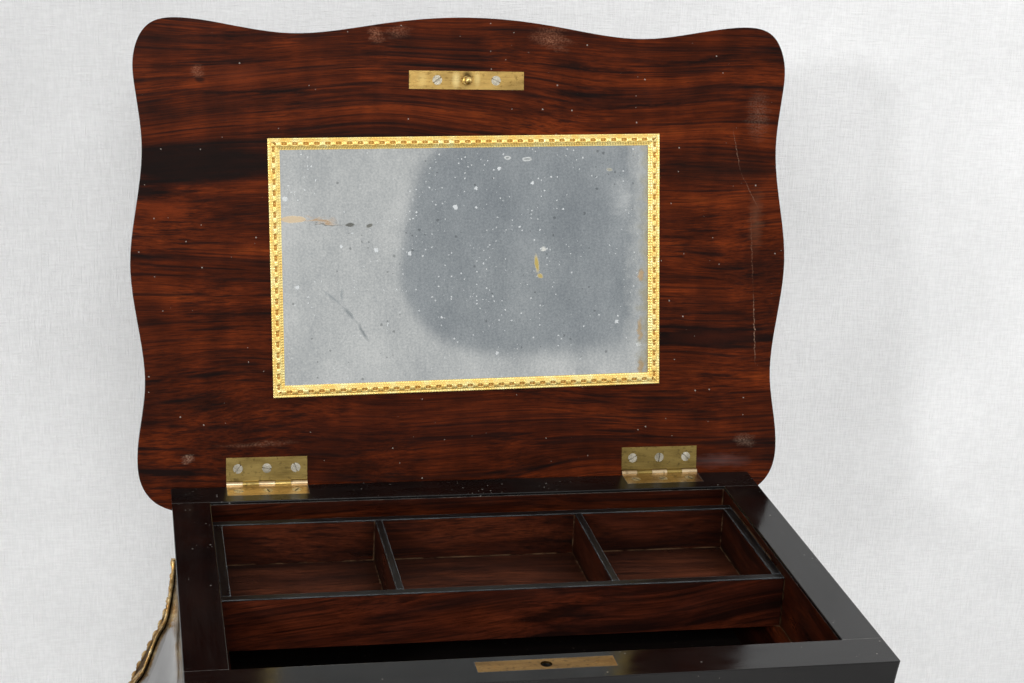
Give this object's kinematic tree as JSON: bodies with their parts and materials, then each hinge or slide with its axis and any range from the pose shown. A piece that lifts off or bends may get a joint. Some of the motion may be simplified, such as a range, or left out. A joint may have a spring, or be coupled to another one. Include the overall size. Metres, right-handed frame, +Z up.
{
  "type": "dressing table",
  "caption": "Small antique dressing table: a curved ebonised case on cabriole legs, with a lift-up shaped mirror lid, a lined well and a sliding tray",
  "frame": {"origin": "on the floor, under the middle of the case", "axes": "+Z up, -Y towards the person who sits at the table, +X to that person's right"},
  "size_m": [0.567, 0.4746, 1.0769],
  "materials": {
    "ebonised_case": "French polished black",
    "ebonised_lid": "French polished black",
    "rosewood_lining": "polished, oiled",
    "rosewood_tray": "polished, black top edges",
    "rosewood_veneer": "polished veneer with dark streaks",
    "stained_floor": "dark stain, dull",
    "gilt_bronze": "chased and gilt, worn",
    "gilt_moulding": "stamped and gilt, bright",
    "hinge_brass": "polished, tarnished",
    "strike_brass": "satin, worn",
    "lock_brass": "dull, old",
    "hinge_pin_steel": "plain",
    "screw_steel": "filed slotted heads",
    "bolt_steel": "filed",
    "lock_iron": "black iron sheet",
    "old_mirror": "silvered glass, foxed"
  },
  "bodies": {
    "carcase": {"leg_back_left": "ebonised_case", "leg_back_right": "ebonised_case", "leg_front_left": "ebonised_case", "leg_front_right": "ebonised_case", "case_front": "ebonised_case", "case_back": "ebonised_case", "case_side_left": "ebonised_case", "case_side_right": "ebonised_case", "rim_front": "ebonised_case", "rim_back": "ebonised_case", "rim_left": "ebonised_case", "rim_right": "ebonised_case", "lining_front": "rosewood_lining", "lining_back": "rosewood_lining", "lining_left": "rosewood_lining", "lining_right": "rosewood_lining", "runner_left": "rosewood_lining", "runner_right": "rosewood_lining", "well_floor": "stained_floor", "corner_mount_back_left": "gilt_bronze", "corner_mount_back_right": "gilt_bronze", "corner_mount_front_left": "gilt_bronze", "corner_mount_front_right": "gilt_bronze", "sabot_back_left": "gilt_bronze", "sabot_back_right": "gilt_bronze", "sabot_front_left": "gilt_bronze", "sabot_front_right": "gilt_bronze", "escutcheon": "gilt_bronze", "hinge_left_rim_leaf": "hinge_brass", "hinge_right_rim_leaf": "hinge_brass", "hinge_left_pin": "hinge_pin_steel", "hinge_right_pin": "hinge_pin_steel", "hinge_screws_rim": "screw_steel", "lock_plate": "lock_brass", "lock_plate_pins": "lock_brass", "lock_case": "lock_iron"},
    "lid": {"lid_board": "ebonised_lid", "lid_veneer_lower": "rosewood_veneer", "lid_veneer_upper": "rosewood_veneer", "mirror_glass": "old_mirror", "mirror_moulding_top": "gilt_moulding", "mirror_moulding_bottom": "gilt_moulding", "mirror_moulding_left": "gilt_moulding", "mirror_moulding_right": "gilt_moulding", "hinge_left_lid_leaf": "hinge_brass", "hinge_right_lid_leaf": "hinge_brass", "hinge_screws_lid": "screw_steel", "strike_plate": "strike_brass", "strike_stud": "strike_brass", "strike_screws": "screw_steel", "strike_pins": "strike_brass"},
    "tray": {"tray_front": "rosewood_tray", "tray_back": "rosewood_tray", "tray_end_left": "rosewood_tray", "tray_end_right": "rosewood_tray", "tray_floor": "rosewood_tray", "tray_divider_left": "rosewood_tray", "tray_divider_right": "rosewood_tray"},
    "bolt": {"lock_bolt": "bolt_steel"}
  },
  "joints": [
    {"name": "lid_hinge", "type": "hinge", "parent": "carcase", "child": "lid", "pos_m": [0, 0.17185, 0.7152], "axis": [1, 0, 0], "range_deg": [0, 101.2]},
    {"name": "tray_slide", "type": "slide", "parent": "carcase", "child": "tray", "axis": [0, 1, 0], "range_m": [-0.1164, 0.0186]},
    {"name": "bolt_slide", "type": "slide", "parent": "carcase", "child": "bolt", "axis": [1, 0, 0], "range_m": [0, 0.006]}
  ]
}
